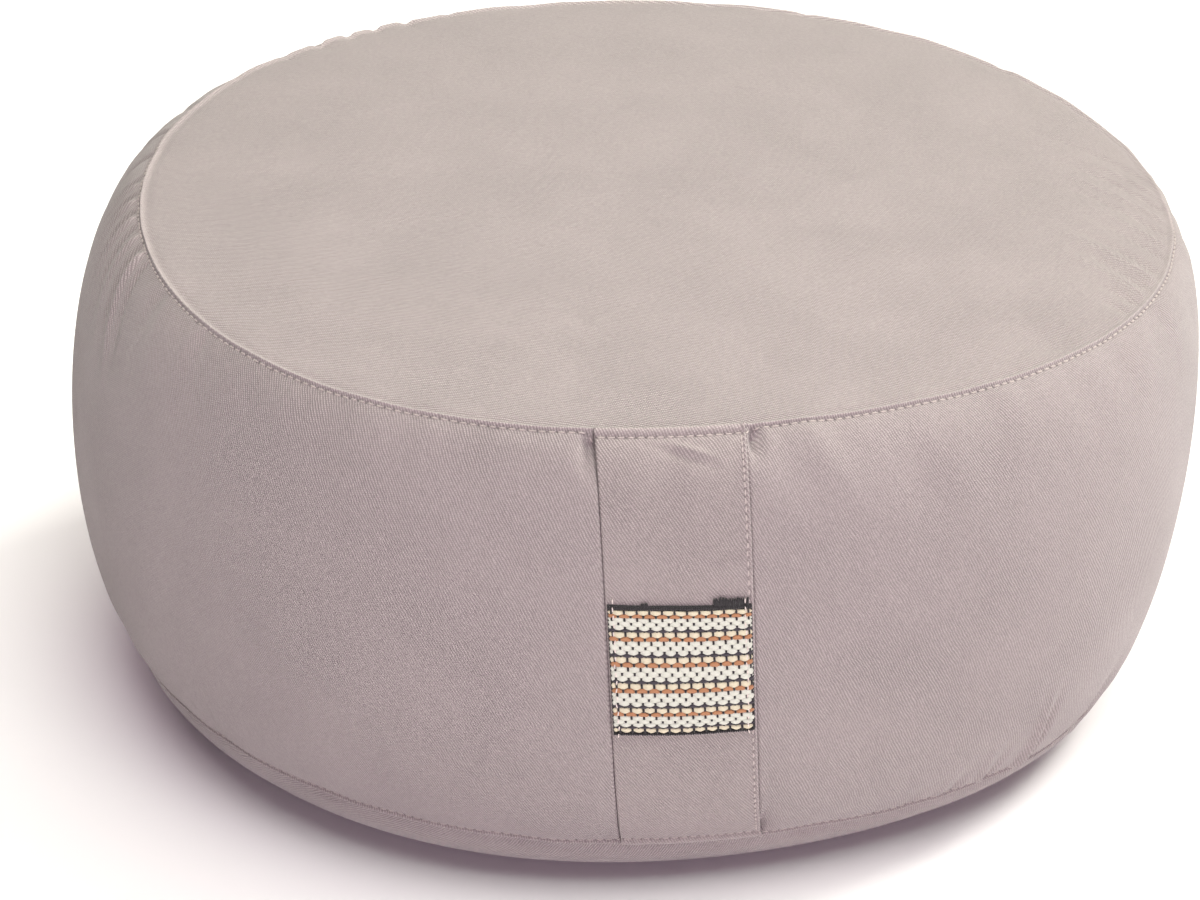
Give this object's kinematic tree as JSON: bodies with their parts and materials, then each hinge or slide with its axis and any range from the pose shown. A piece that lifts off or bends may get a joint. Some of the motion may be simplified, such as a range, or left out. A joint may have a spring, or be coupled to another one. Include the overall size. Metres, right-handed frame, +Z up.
{
  "type": "zafu meditation cushion",
  "caption": "Round, firmly stuffed floor cushion of cotton twill with a flat carry strap and a short woven band down its front.",
  "frame": {"origin": "on the floor, at the middle of the whole cushion's bounding box", "axes": "+Z up, out of the top panel; the strap is at the front, on the -Y side"},
  "size_m": [0.3339, 0.3263, 0.1612],
  "materials": {
    "cover": "matt cotton twill, warm grey",
    "strap": "matt cotton twill, warm grey",
    "tape": "woven cotton tape in cream, white, orange and near black"
  },
  "bodies": {
    "root": {"cushion": "cover", "strap": "strap", "woven_band": "tape"}
  },
  "joints": []
}
